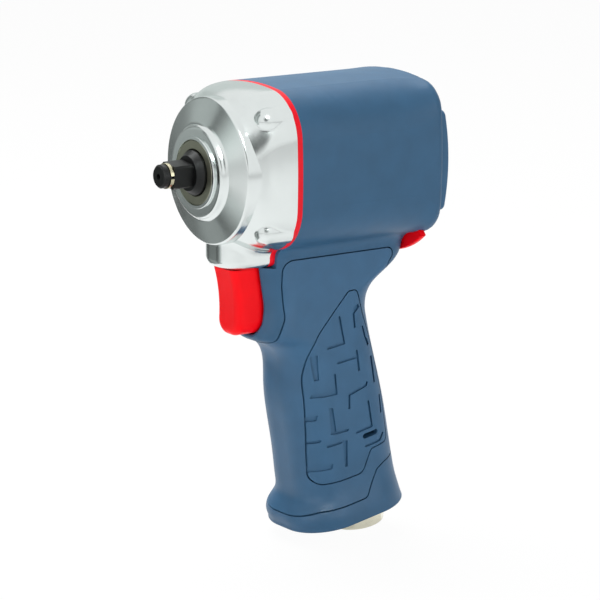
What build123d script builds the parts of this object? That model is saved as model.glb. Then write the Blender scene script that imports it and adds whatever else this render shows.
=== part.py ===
from build123d import *
import os
from math import atan2, cos, degrees, radians, sin

# Air impact wrench, millimetres. X runs forward along the drive axis, Z is up, Y is the tool's left.
# The origin is on the drive axis, at the shoulder of the square drive.
os.makedirs("parts", exist_ok=True)

# Clearances
run_fit = 0.05
press_fit = 0.02
free_gap = 0.4
thin_gap = 0.3
seam_gap = 0.55

# Square drive and nose
square_size = 9.525
square_round = 12.4
square_length = 9.0
square_turn = -7.6
shoulder_radius = 7.2
shoulder_length = 2.6
groove_width = 1.9
groove_radius = 3.0
tip_radius = 4.8
tip_length = 2.6
tip_hole_radius = 1.2
tip_hole_depth = 2.5
tip_chamfer = 0.7
ring_radius = 5.2
ring_thickness = 0.9
ring_split = 1.2
ring_width = 1.5
o_ring_section = 0.6
journal_radius = 9.2
bushing_radius = 13.4
bushing_length = 9.6
bushing_chamfer = 0.5
nose_face = -3.4

# Twin hammer mechanism
case_bore = 26.8
frame_front = 3.5
frame_rear = 8.5
hammer_length = 11.0
hammer_half_width = 19.5
hammer_bore = 15.5
hammer_jaw_radius = 12.0
hammer_jaw_half_angle = 25
hammer_swing = 5
web_thickness = 3.4
pin_radius = 3.0
pin_circle = 21.5
pin_hold = 5.0
notch_gap = 0.6
collar_radius = 12.4
shank_radius = 9.0
anvil_jaw_half_angle = 24
pilot_radius = 6.0
pilot_length = 3.4
spline_radius = 5.6
spline_root = 4.6
spline_teeth = 8
spline_length = 4.2
spline_tooth = 2.0
circlip_thickness = 1.2
circlip_depth = 1.4
circlip_inside = 2.2
circlip_mouth = 6.0

# Vane motor
end_plate_front = 7.7
end_plate_rear = 7.0
cylinder_length = 33.5
cylinder_bore = 21.1
cylinder_offset = 2.0
rotor_gap = 0.1
shaft_radius = 6.0
shaft_gap = 1.0
vane_count = 6
vane_thickness = 2.0
vane_height = 7.0
port_radius = 2.0
port_count = 5
dowel_radius = 1.5
dowel_height = 23.0
dowel_hold = 5.0
bearing_radius = 12.0
bearing_width = 6.0
ball_radius = 1.8
ball_count = 8
race_wall = 1.9

# Housing body
body_half_width = 34.4
body_top = 34.8
body_bottom = 33.8
side_crown = 1.6
top_crown = 4.6
bottom_crown = 4.5
front_inset = 0.4
front_corner = 20.0
rear_corner = 9.0
flare_start = -86.0
straight_spans = 4
neck_fillet = 6.0
gasket_front = -30.7
gasket_thickness = 2.5
rear_wall = 3.3
rear_edge = 3.0
screw_radius = 2.5
screw_y = 25.5
screw_z = 22.5
screw_head_radius = 4.5
screw_head = 4.2
screw_socket = 2.3
screw_tip = -20.5
screw_gap = 0.2
head_gap = 0.4
chin_half_width = 13.8
chin_bottom = -40.2
chin_front = -12.0
chin_corner = 12.5
chin_edge = 3.4

# Rear cover
cover_half_width = 30.0
cover_top = 20.0
cover_bottom = -22.0
cover_thickness = 5.5
cover_rim = 3.2
cover_corner = 2.5
cover_edge = 1.2
spigot_radius = 6.0
spigot_length = 2.6

# Hammer case
lip_face = -3.2
lip_radius = 14.8
lip_chamfer = 0.4
nose_ring_face = -4.1
nose_ring_radius = 18.6
nose_ring_round = 1.6
cone_face = -6.4
cone_radius = 19.2
cone_round = 2.4
rim_face = -9.7
rim_radius = 30.2
rim_round = 1.2
boss_radius = 5.4
boss_start = -21.8
boss_blend = 2.2
chin_top = -20.0
chin_blend = 4.5
case_sections = [
    (gasket_front, front_inset, front_corner),
    (-24.0, 1.1, 20.5),
    (-18.5, 2.9, 21.5),
    (-14.5, 5.2, 23.5),
    (-12.0, 6.4, 24.5),
]

# Reverse valve and lever
valve_wall = 1.2
valve_thickness = 2.6
valve_hub = 7.0
valve_port_radius = 3.0
valve_port_circle = 17.0
valve_port_angle = 45
lever_half_angle = 31
lever_rest = 8
lever_swing = 16
lever_reach = 42.0
lever_edge = 0.8
tang_half_width = 3.0
tang_depth = 3.0
tang_length = 7.0
detent_radius = 1.5
detent_height = 15.0
detent_stand = 0.6
detent_depth = 5.5
detent_spread = 8

# Trigger and its rod
trigger_half_width = 8.0
trigger_top = -40.9
trigger_bottom = -69.2
trigger_tip = -16.3
trigger_waist = -18.8
trigger_toe = -18.0
trigger_back = -38.0
trigger_corner = 6.5
trigger_edge = 3.2
pocket_back = -45.0
pocket_gap = 0.5
pocket_lip = 1.0
rod_height = -56.0
rod_radius = 2.4
rod_bushing_radius = 4.5
rod_hold = 6.0
rod_bushing_length = 13.0

# Handle, in its raked frame: drop along the handle, front and back reach, half width, corner radii
handle_rake = 10.4
handle_origin = -48.2
handle_stations = [
    (26, 28.6, 46.6, 16.8, 13.5, 13.0),
    (33, 28.6, 46.6, 16.8, 13.5, 13.0),
    (40, 28.7, 46.4, 16.8, 13.5, 13.0),
    (50, 29.0, 43.4, 16.9, 13.8, 13.5),
    (57, 30.2, 29.8, 17.1, 14.0, 14.0),
    (63, 31.9, 24.4, 17.4, 14.2, 14.5),
    (67, 31.6, 23.1, 17.7, 14.4, 14.8),
    (71, 26.2, 22.7, 18.1, 14.8, 15.0),
    (76, 22.4, 22.6, 18.7, 15.2, 15.4),
    (92, 22.9, 23.4, 19.4, 15.9, 15.9),
    (108, 23.7, 24.2, 19.8, 16.1, 16.1),
    (124, 23.9, 24.3, 20.0, 16.3, 16.3),
    (135, 24.4, 24.2, 20.4, 16.6, 16.6),
]
foot_stations = [
    (141.5, 25.8, 24.0, 21.6, 17.8, 17.3),
    (145.5, 29.6, 24.2, 23.0, 19.0, 18.5),
    (149.5, 30.5, 24.6, 23.8, 19.5, 19.0),
    (153.4, 30.7, 25.4, 24.2, 19.5, 19.0),
]
handle_end = 153.4
skin = 2.4
core_end = 145.2
wide = 60.0

# Air passages in the handle, in its raked frame
inlet_reach = -8.0
thread_radius = 5.56
thread_length = 15.0
shank_wall = 3.6
shank_top = 112.0
hex_flats = 22.0
hex_turn = -11
hex_height = 10.1
throat_radius = 4.6
chamber_radius = 8.6
chamber_top = 50.0
seat_top = 83.0
seat_thickness = 4.0
valve_head_radius = 6.4
valve_head = 3.0
rocker_radius = 1.0
rocker_length = 5.0
stem_radius = 1.8
stem_top = 54.0
screen_thickness = 2.2
screen_circle = 4.6
screen_holes = 6
screen_hole = 1.5
seal_drop = 130.0
seal_section = 0.7
spring_wire = 1.1
spring_radius = 5.4
exhaust_radius = 4.0
exhaust_reach = 6.0
exhaust_side = 10.0
exhaust_top = 36.0
link_radius = 3.5
link_back = -62.5
feed_radius = 3.5
feed_drop = 56.0
cap_floor = 2.6
cap_round = 0.8
muffler_front = 21.0
muffler_back = 19.0
muffler_half_width = 15.0
muffler_corner = 10.0
slot_count = 3
slot_reach = 9.0
slot_length = 16.0
slot_width = 2.4
slot_pitch = 5.0

# Grip skin seam in the side view: X, Z and corner radius
grip_outline = [
    (-35.4, -37.3, 5.0),
    (-93.8, -37.3, 3.0),
    (-86.4, -47.6, 4.0),
    (-120.0, -60.0, 0.0),
    (-120.0, -180.0, 0.0),
    (-10.0, -180.0, 0.0),
    (-20.0, -72.4, 0.0),
    (-33.0, -72.4, 2.5),
    (-36.6, -61.5, 8.0),
    (-35.2, -48.0, 10.0),
]

# Cap seam in the handle's frame: reach, drop and corner radius
cap_outline = [
    (40.0, 148.5, 0.0),
    (22.0, 144.9, 8.0),
    (0.0, 144.9, 4.0),
    (-8.5, 135.0, 3.0),
    (-12.5, 133.7, 8.0),
    (-40.0, 131.5, 0.0),
    (-40.0, 175.0, 0.0),
    (40.0, 175.0, 0.0),
]

# Tread pad outline in the handle's frame: reach, drop and corner radius
pad_outline = [
    (-9.6, 56.8, 2.0),
    (-13.4, 57.0, 1.8),
    (-18.6, 85.0, 40.0),
    (-19.2, 104.0, 60.0),
    (-17.2, 125.1, 2.5),
    (-7.0, 125.1, 3.0),
    (-0.8, 133.9, 4.0),
    (21.6, 133.6, 4.5),
    (17.8, 87.0, 30.0),
    (13.0, 73.0, 25.0),
]
pad_depth = 1.6

# Tread grooves in the pads, as lines and as wedges of reach and drop points
tread_depth = 0.9
tread_width = 1.1
tread_lines = [
    [(-2.9, 65.8), (-2.5, 76.8), (5.7, 76.4)],
    [(-7.9, 82.0), (-7.4, 90.2)],
    [(-7.7, 84.5), (2.3, 83.9)],
    [(4.8, 88.4), (5.5, 96.4)],
    [(-10.4, 96.8), (-9.7, 97.8), (-0.6, 99.1), (0.4, 104.5)],
    [(10.0, 112.8), (3.0, 113.6)],
    [(-9.4, 105.1), (-9.2, 115.9), (-1.3, 116.1)],
    [(21.5, 115.0), (16.0, 114.8)],
    [(13.3, 117.7), (6.2, 117.6)],
    [(-4.8, 123.4), (-12.6, 123.4), (-15.0, 121.4)],
    [(-10.1, 66.3), (-9.4, 71.8)],
    [(-14.0, 73.6), (-14.4, 79.0)],
    [(-17.2, 105.3), (-16.2, 112.3)],
]
tread_wedges = [
    [(14.1, 78.2), (14.1, 88.6), (12.1, 88.7), (10.9, 78.0)],
    [(5.1, 94.3), (5.5, 97.0), (16.8, 95.6), (16.1, 94.1)],
    [(21.5, 103.6), (15.1, 103.4), (15.9, 105.6), (21.5, 105.7)],
    [(10.2, 101.4), (8.4, 102.0), (8.6, 112.8), (11.2, 113.0)],
    [(6.4, 117.3), (3.9, 118.0), (5.9, 129.0), (7.2, 128.7)],
    [(22.5, 125.0), (12.3, 125.9), (13.0, 127.9), (22.5, 128.0)],
    [(-10.4, 63.7), (-13.4, 63.1), (-14.2, 64.8), (-10.6, 66.6)],
    [(-14.0, 78.6), (-15.2, 78.4), (-16.4, 82.0), (-14.8, 82.4)],
    [(-17.0, 87.2), (-15.4, 87.2), (-14.5, 98.7), (-15.6, 98.7)],
]

# Slot in the side of the grip
side_slot_reach = -7.9
side_slot_drop = 119.1
side_slot_length = 8.0
side_slot_width = 2.2
side_slot_floor = 14.0

# Stations along the drive axis, front to back
case_wall = nose_face - bushing_length
frame_start = case_wall - free_gap
hammer_1 = frame_start - frame_front - thin_gap
hammer_2 = hammer_1 - hammer_length - thin_gap
frame_back = hammer_2 - hammer_length - thin_gap
frame_end = frame_back - frame_rear
circlip_front = frame_end - thin_gap
plate_front = circlip_front - circlip_thickness
cylinder_front = plate_front - end_plate_front
cylinder_back = cylinder_front - cylinder_length
plate_back = cylinder_back - end_plate_rear
valve_front = plate_back - thin_gap
wall_front = valve_front - valve_thickness - thin_gap
rear_face = wall_front - rear_wall
housing_front = gasket_front - gasket_thickness

# Radii that follow from the bores
frame_radius = case_bore - free_gap
web_inner = frame_radius - web_thickness
hammer_radius = frame_radius - 2 * free_gap
cylinder_radius = case_bore - screw_gap
rotor_radius = cylinder_bore - cylinder_offset - rotor_gap
anvil_jaw_radius = hammer_jaw_radius - free_gap
ball_circle = (shaft_radius + bearing_radius) / 2
valve_radius = case_bore - valve_wall - free_gap
shank_outer = thread_radius + shank_wall
lever_slot_half_angle = lever_half_angle + lever_swing / 2 + 1
seat_drop = seat_top + seat_thickness
circlip_radius = case_bore + circlip_depth
drive_tip = square_length + groove_width + tip_length
valve_back = valve_front - valve_thickness
valve_port_y = valve_port_circle * sin(radians(valve_port_angle))
valve_port_z = valve_port_circle * cos(radians(valve_port_angle))
tang_inner = valve_radius - tang_depth
lever_inner = case_bore - valve_wall + free_gap
detent_spring_back = plate_back + 2 * detent_radius - detent_stand
head_top = seat_drop + run_fit
rocker_reach = inlet_reach + valve_head_radius
screen_top = shank_top - screen_thickness
hex_top = handle_end
hex_bottom = hex_top + hex_height
hammer_notch = 2 * pin_circle * sin(radians(hammer_swing)) + pin_radius + free_gap
front_race = plate_front - run_fit
rear_race = plate_back + run_fit + bearing_width
rotor_front = cylinder_front - rotor_gap
rotor_back = cylinder_back + rotor_gap
spline_front = frame_end + spline_length
head_seat = rear_face + screw_head + thin_gap
rod_bushing_back = pocket_back - rod_bushing_length
dowel_bore = dowel_radius + press_fit
detent_bore = detent_radius + run_fit
shaft_bore = shaft_radius + shaft_gap

handle_axis = (sin(radians(handle_rake)), 0, cos(radians(handle_rake)))
handle_forward = (cos(radians(handle_rake)), 0, -sin(radians(handle_rake)))
handle_up = Axis((0, 0, 0), handle_axis)
handle_plane = Plane(origin=(handle_origin, 0, 0), x_dir=handle_forward, z_dir=handle_axis)
handle_side = Plane(origin=(handle_origin, 0, 0), x_dir=handle_forward, z_dir=(0, -1, 0))

# Ends of the feed passage and of the exhaust links
feed_start = handle_plane.from_local_coords(Vector(inlet_reach, 0, -feed_drop))
feed_end = Vector((plate_back + wall_front) / 2, 0, -valve_radius)
link_top = handle_plane.from_local_coords(Vector(exhaust_reach, 0, -exhaust_top))
link_front = link_top.X
link_height = link_top.Z

# Where the trigger rod meets the valve stem
stem_drop = (inlet_reach * handle_forward[2] - rod_height) / handle_axis[2]
stem_x = handle_origin - stem_drop * handle_axis[0] + inlet_reach * handle_forward[0]
rod_end = stem_x + stem_radius / handle_axis[2] + rod_radius * handle_axis[0] / handle_axis[2] + thin_gap


def x_cylinder(front, back, radius, y=0.0, z=0.0, mode=Mode.ADD):
    """A cylinder along X between two stations."""
    with Locations(Location((back, y, z), (0, 90, 0))):
        Cylinder(radius, front - back, align=(Align.CENTER, Align.CENTER, Align.MIN), mode=mode)


def handle_cylinder(top, bottom, radius, reach=inlet_reach, side=0.0, mode=Mode.ADD):
    """A cylinder along the handle between two drops."""
    with Locations(handle_plane.offset(-bottom).location * Location((reach, side, 0))):
        Cylinder(radius, bottom - top, align=(Align.CENTER, Align.CENTER, Align.MIN), mode=mode)


def body_outline(inset, corner):
    """The crowned, rounded body section on the current sketch."""
    side = body_half_width - inset
    top = body_top - inset
    bottom = -body_bottom + inset
    edge = side - side_crown
    high = top - top_crown
    low = bottom + bottom_crown
    with BuildLine() as outline:
        ThreePointArc((-edge, high), (0, top), (edge, high))
        ThreePointArc((edge, high), (side, 0), (edge, low))
        ThreePointArc((edge, low), (0, bottom), (-edge, low))
        ThreePointArc((-edge, low), (-side, 0), (-edge, high))
    section = make_face(outline.edges())
    fillet(section.vertices(), corner)


def body_section(x, inset, corner):
    """One section of the body or the hammer case, square to the drive axis."""
    with BuildSketch(Plane.YZ.offset(x)) as section:
        body_outline(inset, corner)
    return section.sketch


def ring_sector(inner, outer, middle, half_angle):
    """A ring sector on the current sketch; angles run from straight down towards the tool's left."""
    start = middle - half_angle - 90
    end = start + 2 * half_angle
    with BuildLine() as outline:
        CenterArc((0, 0), outer, start, 2 * half_angle)
        CenterArc((0, 0), inner, start, 2 * half_angle)
        for angle in (start, end):
            spoke = Vector(cos(radians(angle)), sin(radians(angle)))
            Line(spoke * inner, spoke * outer)
    make_face(outline.edges())


def handle_section(station, inset):
    """One rounded section of the handle, square to the handle's axis."""
    drop, front, back, half_width, front_corner, back_corner = station
    with BuildSketch(handle_plane.offset(-drop)) as section:
        with Locations(((front - back) / 2, 0)):
            Rectangle(front + back - 2 * inset, 2 * (half_width - inset))
        fillet(section.vertices().group_by(Axis.X)[-1], front_corner - inset)
        fillet(section.vertices().group_by(Axis.X)[0], back_corner - inset)
    return section.sketch


def handle_core(inset):
    """The handle's form sunk by an inset, straight below the last grip section."""
    straight = (core_end,) + handle_stations[-1][1:]
    return [handle_section(station, inset) for station in handle_stations + [straight]]


def hammer_outline(pivot):
    """A hammer's section, hung from a pin at the given height, on the current sketch."""
    Circle(hammer_radius)
    for swing in (-hammer_swing, hammer_swing):
        with Locations((pivot * sin(radians(swing)), pivot * (1 - cos(radians(swing))))):
            Circle(hammer_radius, mode=Mode.INTERSECT)
    Rectangle(2 * hammer_half_width, 2 * hammer_radius, mode=Mode.INTERSECT)
    for middle in (0, 180):
        with BuildSketch(mode=Mode.PRIVATE) as relief:
            ring_sector(hammer_jaw_radius / 2, hammer_bore, middle, 90 - hammer_jaw_half_angle)
        add(relief.sketch, mode=Mode.SUBTRACT)
    Circle(hammer_jaw_radius, mode=Mode.SUBTRACT)
    with Locations((0, pivot)):
        Circle(pin_radius + run_fit, mode=Mode.SUBTRACT)
    edge = Align.MAX if pivot > 0 else Align.MIN
    floor = (pin_circle - pin_radius - notch_gap) * (-1 if pivot > 0 else 1)
    with Locations((0, floor)):
        Rectangle(2 * hammer_notch, hammer_radius, align=(Align.CENTER, edge), mode=Mode.SUBTRACT)


def spline_outline(grow):
    """The rotor's spline, on the current sketch."""
    Circle(spline_root + grow)
    with PolarLocations((spline_root + spline_radius) / 2, spline_teeth):
        Rectangle(2 * (spline_radius - spline_root) + 2 * grow, spline_tooth + 2 * grow)
    Circle(spline_radius + grow, mode=Mode.INTERSECT)


def vane_outline(grow):
    """The vanes or their slots, on the current sketch."""
    with PolarLocations(rotor_radius - vane_height, vane_count):
        Rectangle(2 * vane_height, vane_thickness + 2 * grow, align=(Align.MIN, Align.CENTER))


def outer_race(front):
    """A bearing's outer race in the current part."""
    x_cylinder(front, front - bearing_width, bearing_radius)
    x_cylinder(front, front - bearing_width, bearing_radius - race_wall, mode=Mode.SUBTRACT)
    with Locations(Location((front - bearing_width / 2, 0, 0), (0, 90, 0))):
        Torus(ball_circle, ball_radius + run_fit, mode=Mode.SUBTRACT)


def inner_race(front):
    """A bearing's inner race in the current part."""
    x_cylinder(front, front - bearing_width, shaft_radius + race_wall)
    x_cylinder(front, front - bearing_width, shaft_radius + press_fit, mode=Mode.SUBTRACT)
    with Locations(Location((front - bearing_width / 2, 0, 0), (0, 90, 0))):
        Torus(ball_circle, ball_radius + run_fit, mode=Mode.SUBTRACT)


def race_balls(front):
    """A bearing's balls in the current part."""
    with Locations(Location((front - bearing_width / 2, 0, 0), (0, 90, 0))):
        with PolarLocations(ball_circle, ball_count):
            Sphere(ball_radius)


def tang_outline(grow):
    """The lever's inward tang, on the current sketch."""
    start = Vector(sin(radians(lever_rest)), -cos(radians(lever_rest)))
    middle = start * (tang_inner - grow + tang_length / 2)
    with Locations((middle.X, middle.Y)):
        Rectangle(2 * (tang_half_width + grow), tang_length, rotation=lever_rest)


def trigger_section(x, grow):
    """The trigger's section across the tool, flat above and rounded below."""
    with BuildSketch(Plane.YZ.offset(x)) as section:
        with Locations((0, trigger_top + grow)):
            Rectangle(
                2 * (trigger_half_width + grow),
                trigger_top - trigger_bottom + 2 * grow,
                align=(Align.CENTER, Align.MAX),
            )
        fillet(section.vertices().group_by(Axis.Y)[0], trigger_corner + grow)
    return section.sketch


def trigger_pocket():
    """Cuts the trigger's pocket from the current part."""
    extrude(trigger_section(pocket_back, pocket_gap), amount=wide, mode=Mode.SUBTRACT)


def muffler_outline(grow):
    """The felt's outline in the foot, on the current sketch."""
    with Locations(((muffler_front - muffler_back) / 2, 0)):
        RectangleRounded(
            muffler_front + muffler_back + 2 * grow,
            2 * (muffler_half_width + grow),
            muffler_corner + grow,
        )


def side_outline(points, down=1):
    """A closed outline with rounded corners on the current sketch."""
    with BuildLine() as outline:
        FilletPolyline(
            *[(across, down * along) for across, along, corner in points],
            radius=[corner for across, along, corner in points],
            close=True,
        )
    make_face(outline.edges())


# Handle forms that the shells are cut from
with BuildPart() as handle_form:
    loft(sections=[handle_section(station, 0) for station in handle_stations + foot_stations])

with BuildPart() as core_form:
    loft(sections=handle_core(skin))

with BuildPart() as pad_floor:
    loft(sections=handle_core(pad_depth))

with BuildPart() as tread_floor:
    loft(sections=handle_core(tread_depth))


# Zones of the grip skin, tread pad and cap, through the whole width
with BuildPart() as skin_zone:
    with BuildSketch(Plane.XZ):
        side_outline(grip_outline)
    extrude(amount=wide, both=True)
    add(core_form.part, mode=Mode.SUBTRACT)

with BuildPart() as grip_zone:
    with BuildSketch(Plane.XZ):
        side_outline(grip_outline)
        offset(amount=-seam_gap, kind=Kind.INTERSECTION)
    extrude(amount=wide, both=True)
    add(core_form.part, mode=Mode.SUBTRACT)

with BuildPart() as cap_zone:
    with BuildSketch(handle_side):
        side_outline(cap_outline, -1)
    extrude(amount=wide, both=True)

with BuildPart() as cap_clearance:
    with BuildSketch(handle_side):
        side_outline(cap_outline, -1)
        offset(amount=seam_gap, kind=Kind.INTERSECTION)
    extrude(amount=wide, both=True)

with BuildPart() as pad_zone:
    with BuildSketch(handle_side):
        side_outline(pad_outline, -1)
    extrude(amount=wide, both=True)

with BuildPart() as pad_pocket:
    with BuildSketch(handle_side):
        side_outline(pad_outline, -1)
        offset(amount=seam_gap)
    extrude(amount=wide, both=True)
    add(pad_floor.part, mode=Mode.SUBTRACT)

with BuildPart() as tread_cut:
    with BuildSketch(handle_side):
        for tread_line in tread_lines:
            for start, end in zip(tread_line, tread_line[1:]):
                run = Vector(end[0] - start[0], start[1] - end[1])
                with Locations(((start[0] + end[0]) / 2, -(start[1] + end[1]) / 2)):
                    SlotCenterToCenter(run.length, tread_width, rotation=degrees(atan2(run.Y, run.X)))
        for tread_wedge in tread_wedges:
            side_outline([(reach, drop, 0) for reach, drop in tread_wedge], -1)
    extrude(amount=wide, both=True)
    add(tread_floor.part, mode=Mode.SUBTRACT)

with BuildPart() as side_slot:
    with BuildSketch(handle_side):
        with Locations((side_slot_reach, -side_slot_drop)):
            SlotOverall(side_slot_length, side_slot_width)
    extrude(amount=wide, both=True)
    Box(2 * wide, 2 * side_slot_floor, 4 * wide, mode=Mode.SUBTRACT)

with BuildPart() as pad_form:
    add(handle_form.part)
    add(pad_zone.part, mode=Mode.INTERSECT)
    add(pad_floor.part, mode=Mode.SUBTRACT)
    add(tread_cut.part, mode=Mode.SUBTRACT)
    add(side_slot.part, mode=Mode.SUBTRACT)

with BuildPart() as grip_pad_left:
    add(pad_form.part)
    split(bisect_by=Plane.XZ, keep=Keep.BOTTOM)
grip_pad_left.part.label = "grip_pad_left"
export_step(grip_pad_left.part, "parts/grip_pad_left.step")

with BuildPart() as grip_pad_right:
    add(pad_form.part)
    split(bisect_by=Plane.XZ, keep=Keep.TOP)
grip_pad_right.part.label = "grip_pad_right"
export_step(grip_pad_right.part, "parts/grip_pad_right.step")

with BuildPart() as grip_overmold:
    add(handle_form.part)
    add(grip_zone.part, mode=Mode.INTERSECT)
    add(cap_clearance.part, mode=Mode.SUBTRACT)
    add(pad_pocket.part, mode=Mode.SUBTRACT)
    add(side_slot.part, mode=Mode.SUBTRACT)
    trigger_pocket()
grip_overmold.part.label = "grip_overmold"
export_step(grip_overmold.part, "parts/grip_overmold.step")

# Housing: body, neck and handle core, with its bores and passages
with BuildPart() as shell_form:
    straight_step = (flare_start - housing_front) / straight_spans
    straight = [housing_front + straight_step * place for place in range(straight_spans + 1)]
    body_sections = [body_section(station, front_inset, front_corner) for station in straight]
    body_sections.append(body_section(rear_face, 0, rear_corner))
    loft(sections=body_sections)
    fillet(shell_form.faces().sort_by(Axis.X)[0].edges(), rear_edge)

with BuildPart() as neck_form:
    add(handle_form.part)
    with Locations((housing_front, 0, chin_bottom - thin_gap)):
        Box(wide, wide, wide, align=(Align.MIN, Align.CENTER, Align.MIN), mode=Mode.SUBTRACT)

with BuildPart() as motor_housing:
    add(shell_form.part)
    add(neck_form.part)
    fillet(new_edges(shell_form.part, neck_form.part, combined=motor_housing.part), neck_fillet)
    add(skin_zone.part, mode=Mode.SUBTRACT)
    # Motor bore, circlip groove and valve chamber with its hub
    x_cylinder(housing_front, plate_back, case_bore, mode=Mode.SUBTRACT)
    x_cylinder(circlip_front + run_fit, plate_front, circlip_radius + run_fit, mode=Mode.SUBTRACT)
    x_cylinder(plate_back, wall_front, case_bore - valve_wall, mode=Mode.SUBTRACT)
    x_cylinder(valve_front, wall_front, valve_hub)
    x_cylinder(rear_face + spigot_length + thin_gap, rear_face, spigot_radius + run_fit, mode=Mode.SUBTRACT)
    # Screw holes with head recesses
    for y in (-screw_y, screw_y):
        for z in (-screw_z, screw_z):
            x_cylinder(housing_front, rear_face, screw_radius + screw_gap, y, z, Mode.SUBTRACT)
            x_cylinder(head_seat, rear_face, screw_head_radius + head_gap, y, z, Mode.SUBTRACT)
    # Slot for the reverse lever
    with BuildSketch(Plane.YZ.offset(plate_back)):
        ring_sector(valve_radius - tang_depth, wide, 0, lever_slot_half_angle)
    extrude(amount=wall_front - plate_back, mode=Mode.SUBTRACT)
    # Trigger pocket with its rounded mouth, and the rod bore
    trigger_pocket()
    pocket_side = trigger_half_width + pocket_gap
    pocket_edges = motor_housing.edges().filter_by(lambda e: abs(abs(e.center().Y) - pocket_side) < run_fit)
    fillet(pocket_edges.filter_by(lambda e: e.center().X > housing_front), pocket_lip)
    x_cylinder(pocket_back, rod_bushing_back, rod_bushing_radius + press_fit, 0, rod_height, Mode.SUBTRACT)
    x_cylinder(pocket_back, stem_x, rod_radius + free_gap, 0, rod_height, Mode.SUBTRACT)
    # Throttle chamber, inlet bore and the feed to the valve chamber
    handle_cylinder(chamber_top, seat_top, chamber_radius, mode=Mode.SUBTRACT)
    handle_cylinder(seat_top, handle_end, shank_outer + run_fit, mode=Mode.SUBTRACT)
    with Locations(Plane(origin=feed_start, z_dir=feed_end - feed_start)):
        Cylinder(
            feed_radius,
            (feed_end - feed_start).length,
            align=(Align.CENTER, Align.CENTER, Align.MIN),
            mode=Mode.SUBTRACT,
        )
    # Exhaust from the motor bore down to the foot
    for side in (-exhaust_side, exhaust_side):
        handle_cylinder(exhaust_top, handle_end, exhaust_radius, exhaust_reach, side, Mode.SUBTRACT)
        x_cylinder(link_front, link_back, link_radius, side, link_height, Mode.SUBTRACT)
        with Locations((link_back, side, link_height / 2)):
            Cylinder(link_radius, -link_height, mode=Mode.SUBTRACT)
    add(side_slot.part, mode=Mode.SUBTRACT)
motor_housing.part.label = "motor_housing"
export_step(motor_housing.part, "parts/motor_housing.step")

with BuildPart() as handle_cap:
    add(handle_form.part)
    add(cap_zone.part, mode=Mode.INTERSECT)
    fillet(handle_cap.faces().sort_by(handle_up)[0].edges(), cap_round)
    add(core_form.part, mode=Mode.SUBTRACT)
    with BuildSketch(handle_plane.offset(cap_floor - handle_end)):
        muffler_outline(thin_gap)
    extrude(amount=handle_end - cap_floor - core_end, mode=Mode.SUBTRACT)
    handle_cylinder(core_end, handle_end, shank_outer + run_fit, mode=Mode.SUBTRACT)
    with BuildSketch(handle_plane.offset(-handle_end)):
        for place in range(slot_count):
            with Locations((slot_reach + place * slot_pitch, 0)):
                SlotOverall(slot_length, slot_width, rotation=90)
    extrude(amount=2 * cap_floor, mode=Mode.SUBTRACT)
handle_cap.part.label = "handle_cap"
export_step(handle_cap.part, "parts/handle_cap.step")

with BuildPart() as exhaust_muffler:
    with BuildSketch(handle_plane.offset(cap_floor - handle_end)):
        muffler_outline(0)
    extrude(amount=handle_end - cap_floor - core_end - thin_gap)
    handle_cylinder(core_end, handle_end, shank_outer + thin_gap, mode=Mode.SUBTRACT)
exhaust_muffler.part.label = "exhaust_muffler"
export_step(exhaust_muffler.part, "parts/exhaust_muffler.step")

with BuildPart() as rear_cover:
    with BuildSketch(Plane.XZ):
        with BuildLine():
            Polyline(
                (rear_face - cover_rim, cover_top),
                (rear_face, cover_top),
                (rear_face, cover_bottom),
                (rear_face - cover_rim, cover_bottom),
            )
            ThreePointArc(
                (rear_face - cover_rim, cover_bottom),
                (rear_face - cover_thickness, (cover_top + cover_bottom) / 2),
                (rear_face - cover_rim, cover_top),
            )
        make_face()
    extrude(amount=cover_half_width, both=True)
    fillet(rear_cover.edges().filter_by(Axis.X), cover_corner)
    fillet(rear_cover.faces().sort_by(Axis.X)[0].edges(), cover_edge)
    x_cylinder(rear_face + spigot_length, rear_face, spigot_radius)
rear_cover.part.label = "rear_cover"
export_step(rear_cover.part, "parts/rear_cover.step")

# Four long socket-head screws from the rear corners into the case
with BuildPart() as case_screws:
    for y in (-screw_y, screw_y):
        for z in (-screw_z, screw_z):
            x_cylinder(screw_tip, head_seat, screw_radius, y, z)
            x_cylinder(head_seat, head_seat - screw_head, screw_head_radius, y, z)
            with BuildSketch(Plane.YZ.offset(head_seat - screw_head)):
                with Locations((y, z)):
                    RegularPolygon(screw_socket, 6)
            extrude(amount=screw_head / 2, mode=Mode.SUBTRACT)
case_screws.part.label = "case_screws"
export_step(case_screws.part, "parts/case_screws.step")

# Hammer case: turned nose and rim, drawn out to the body outline behind, with bosses and chin
with BuildPart() as case_shell:
    loft(sections=[body_section(*section) for section in case_sections])

with BuildPart() as case_chin:
    with BuildSketch(Plane.XY.offset(chin_bottom)) as chin_plan:
        with Locations(((chin_front + gasket_front) / 2, 0)):
            Rectangle(chin_front - gasket_front, 2 * chin_half_width)
        fillet(chin_plan.vertices().group_by(Axis.X)[-1], chin_corner)
    extrude(amount=chin_top - chin_bottom)
    fillet(case_chin.faces().sort_by(Axis.Z)[0].edges().sort_by(Axis.X)[1:], chin_edge)

with BuildPart() as case_bosses:
    for y in (-screw_y, screw_y):
        for z in (-screw_z, screw_z):
            x_cylinder(boss_start, gasket_front, boss_radius, y, z)
            with Locations((boss_start, y, z)):
                Sphere(boss_radius)

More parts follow.
